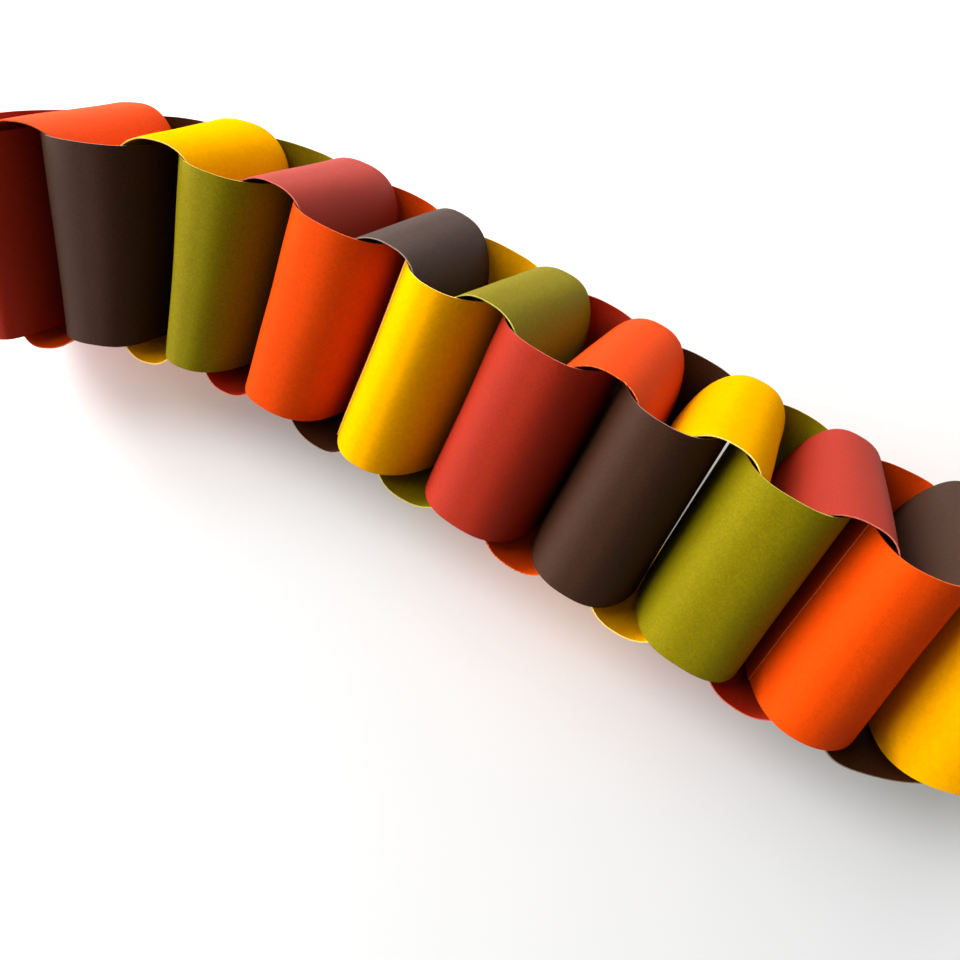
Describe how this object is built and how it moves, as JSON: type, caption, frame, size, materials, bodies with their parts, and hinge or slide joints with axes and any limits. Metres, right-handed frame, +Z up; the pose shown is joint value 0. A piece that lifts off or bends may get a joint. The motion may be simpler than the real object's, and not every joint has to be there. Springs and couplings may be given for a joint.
{
  "type": "paper chain garland",
  "caption": "Garland of coloured card strips, each closed into a glued loop through the loop before it, lying half-way over in a gentle wave.",
  "frame": {"origin": "middle of the chain's bounding box, on the surface that the chain lies on", "axes": "+X along the chain, +Y across it, +Z up from the surface"},
  "size_m": [0.3328, 0.1114, 0.0753],
  "materials": {
    "red_card": "matt",
    "orange_card": "matt",
    "brown_card": "matt",
    "yellow_card": "matt",
    "green_card": "matt"
  },
  "bodies": {
    "root": {"link_01_red": "red_card", "link_02_orange": "orange_card", "link_03_brown": "brown_card", "link_04_yellow": "yellow_card", "link_05_green": "green_card", "link_06_red": "red_card", "link_07_orange": "orange_card", "link_08_brown": "brown_card", "link_09_yellow": "yellow_card", "link_10_green": "green_card", "link_11_red": "red_card", "link_12_orange": "orange_card", "link_13_brown": "brown_card", "link_14_yellow": "yellow_card", "link_15_green": "green_card", "link_16_red": "red_card", "link_17_orange": "orange_card", "link_18_brown": "brown_card", "link_19_yellow": "yellow_card", "link_20_green": "green_card"}
  },
  "joints": []
}
